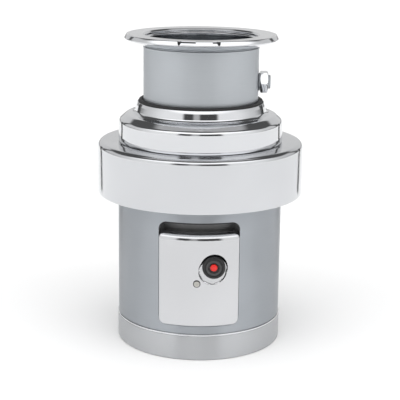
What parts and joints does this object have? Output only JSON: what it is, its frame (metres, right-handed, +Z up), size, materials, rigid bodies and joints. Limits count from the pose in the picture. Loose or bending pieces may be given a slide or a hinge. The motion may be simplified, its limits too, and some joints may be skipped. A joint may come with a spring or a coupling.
{
  "type": "garbage disposal",
  "caption": "Large cylindrical under-sink food waste disposer with a sink flange, water inlet, polished centre band, motor shell, control cover and reset button.",
  "frame": {"origin": "centre of the underside of the base pan", "axes": "+Z up along the shaft, towards the sink flange; -Y is the front with the control cover; +X is the water inlet side"},
  "size_m": [0.3206, 0.3206, 0.4826],
  "materials": {
    "polished_steel": "mirror polished stainless steel",
    "bright_steel": "bright satin stainless steel",
    "brushed_steel": "brushed stainless steel",
    "cast_aluminium": "as cast",
    "cast_iron": "ground cast alloy",
    "hard_steel": "ground hardened steel",
    "dark_paint": "dark satin paint",
    "lamination": "varnished laminated steel",
    "copper_winding": "varnished copper wire",
    "black_rubber": "moulded rubber",
    "insulation_foam": "open-cell foam",
    "black_plastic": "moulded plastic",
    "red_plastic": "moulded plastic",
    "white_plastic": "moulded plastic",
    "zinc_plate": "zinc plated"
  },
  "bodies": {
    "housing": {"base_pan": "brushed_steel", "base_screw_1": "zinc_plate", "base_screw_2": "zinc_plate", "base_screw_3": "zinc_plate", "body_shell": "brushed_steel", "capacitor_clamp": "zinc_plate", "centre_band": "bright_steel", "chamber_bolt_1": "zinc_plate", "chamber_bolt_2": "zinc_plate", "chamber_bolt_3": "zinc_plate", "chamber_gasket": "black_rubber", "conduit_bushing": "black_plastic", "control_cover": "bright_steel", "cover_screw": "zinc_plate", "drain_bolt_1": "zinc_plate", "drain_bolt_2": "zinc_plate", "drain_gasket": "black_rubber", "drain_housing": "cast_aluminium", "drain_spout": "cast_aluminium", "grind_chamber": "cast_aluminium", "inlet_neck": "brushed_steel", "insulation_ring": "insulation_foam", "lower_bearing_outer": "hard_steel", "lower_end_bell": "cast_aluminium", "motor_frame": "dark_paint", "motor_lead_1": "red_plastic", "motor_lead_2": "black_rubber", "overload_protector": "black_plastic", "reset_bezel": "black_plastic", "rubber_isolator": "black_rubber", "shaft_seal": "black_rubber", "sink_flange": "polished_steel", "start_capacitor": "black_plastic", "start_relay": "black_plastic", "stationary_shredder": "hard_steel", "stator_core": "lamination", "stator_winding": "copper_winding", "terminal_block": "white_plastic", "terminal_box": "dark_paint", "through_bolt_1": "zinc_plate", "through_bolt_2": "zinc_plate", "through_bolt_3": "zinc_plate", "through_bolt_4": "zinc_plate", "upper_bearing_outer": "hard_steel", "upper_trim": "polished_steel", "water_inlet_nozzle": "brushed_steel", "water_inlet_nut": "polished_steel", "water_inlet_washer": "brushed_steel"},
    "rotor": {"rotor_shaft": "hard_steel", "rotor_core": "lamination", "shredder_plate": "cast_iron", "shredder_nut": "zinc_plate", "slinger": "black_rubber", "cooling_fan": "black_plastic", "upper_bearing_inner": "hard_steel", "lower_bearing_inner": "hard_steel"},
    "upper_cage": {"upper_bearing_cage": "hard_steel"},
    "lower_cage": {"lower_bearing_cage": "hard_steel"},
    "reset": {"reset_button": "red_plastic"}
  },
  "joints": [
    {"name": "rotor_spin", "type": "hinge", "parent": "housing", "child": "rotor", "pos_m": [0, 0, 0.276], "axis": [0, 0, 1], "continuous": true},
    {"name": "upper_cage_spin", "type": "hinge", "parent": "housing", "child": "upper_cage", "pos_m": [0, 0, 0.1783], "axis": [0, 0, 1], "continuous": true},
    {"name": "lower_cage_spin", "type": "hinge", "parent": "housing", "child": "lower_cage", "pos_m": [0, 0, 0.0383], "axis": [0, 0, 1], "continuous": true},
    {"name": "reset_press", "type": "slide", "parent": "housing", "child": "reset", "axis": [0, 1, 0], "range_m": [0, 0.003], "stiffness_N_per_m": 400, "springref_m": -0.003}
  ],
  "couplings": [
    {"joint": "upper_cage_spin", "follows": "rotor_spin", "ratio": 0.42647},
    {"joint": "lower_cage_spin", "follows": "rotor_spin", "ratio": 0.42647}
  ]
}
